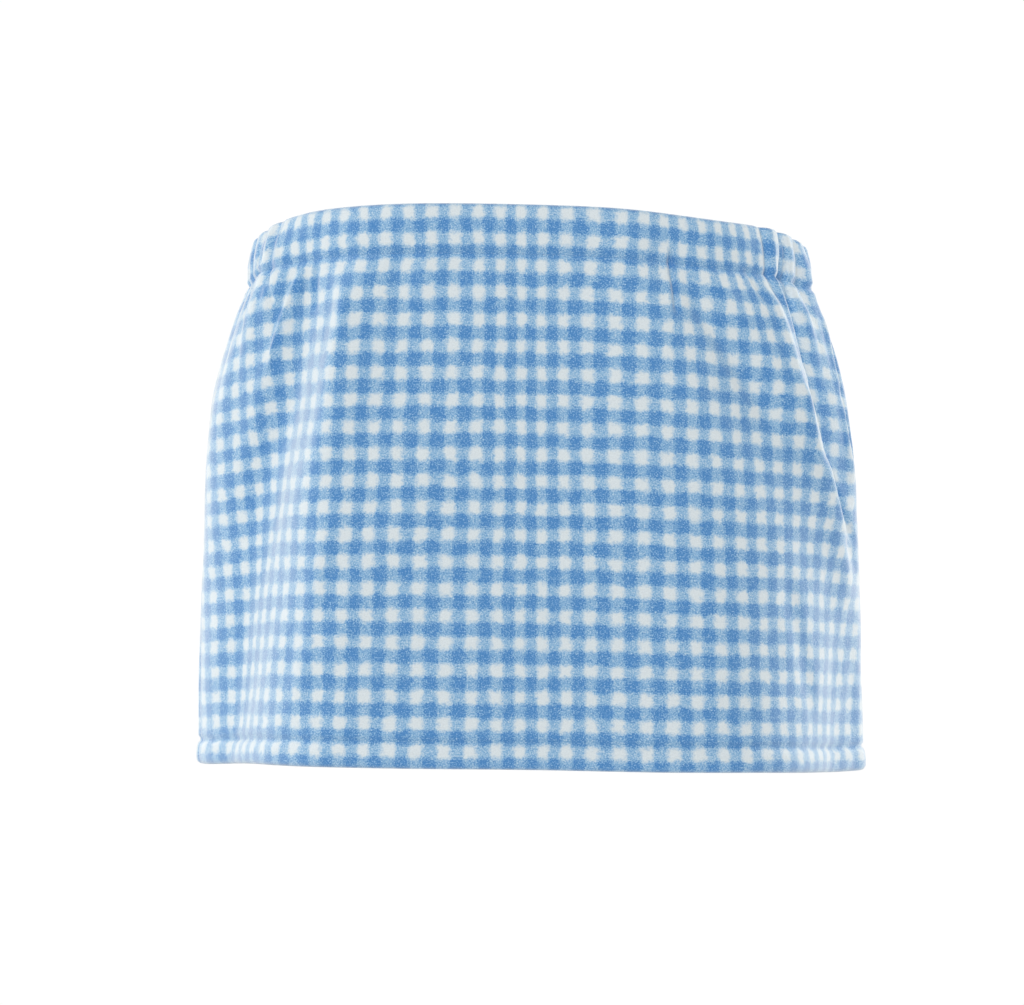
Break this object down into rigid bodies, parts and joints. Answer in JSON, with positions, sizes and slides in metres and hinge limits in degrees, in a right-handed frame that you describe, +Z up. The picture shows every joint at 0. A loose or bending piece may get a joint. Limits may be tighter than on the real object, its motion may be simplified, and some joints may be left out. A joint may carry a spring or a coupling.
{
  "type": "mini skirt",
  "caption": "Straight mini skirt in thick brushed check cloth, flat front and elastic gathered back, worn shape with open waist and hem",
  "frame": {"origin": "middle of the waist opening, about halfway down the elastic casing at the sides", "axes": "+X to the viewer's right along the skirt's width, the front faces -Y, +Z up along the wearer's body"},
  "size_m": [0.388, 0.2485, 0.322],
  "materials": {
    "check_cloth": "thick brushed cloth, pale blue and off-white small check, soft nap, matt with a faint sheen"
  },
  "bodies": {
    "root": {"front_panel": "check_cloth", "back_panel": "check_cloth", "waist_casing_front": "check_cloth", "waist_casing_back": "check_cloth", "hem_turn_front": "check_cloth", "hem_turn_back": "check_cloth"}
  },
  "joints": []
}
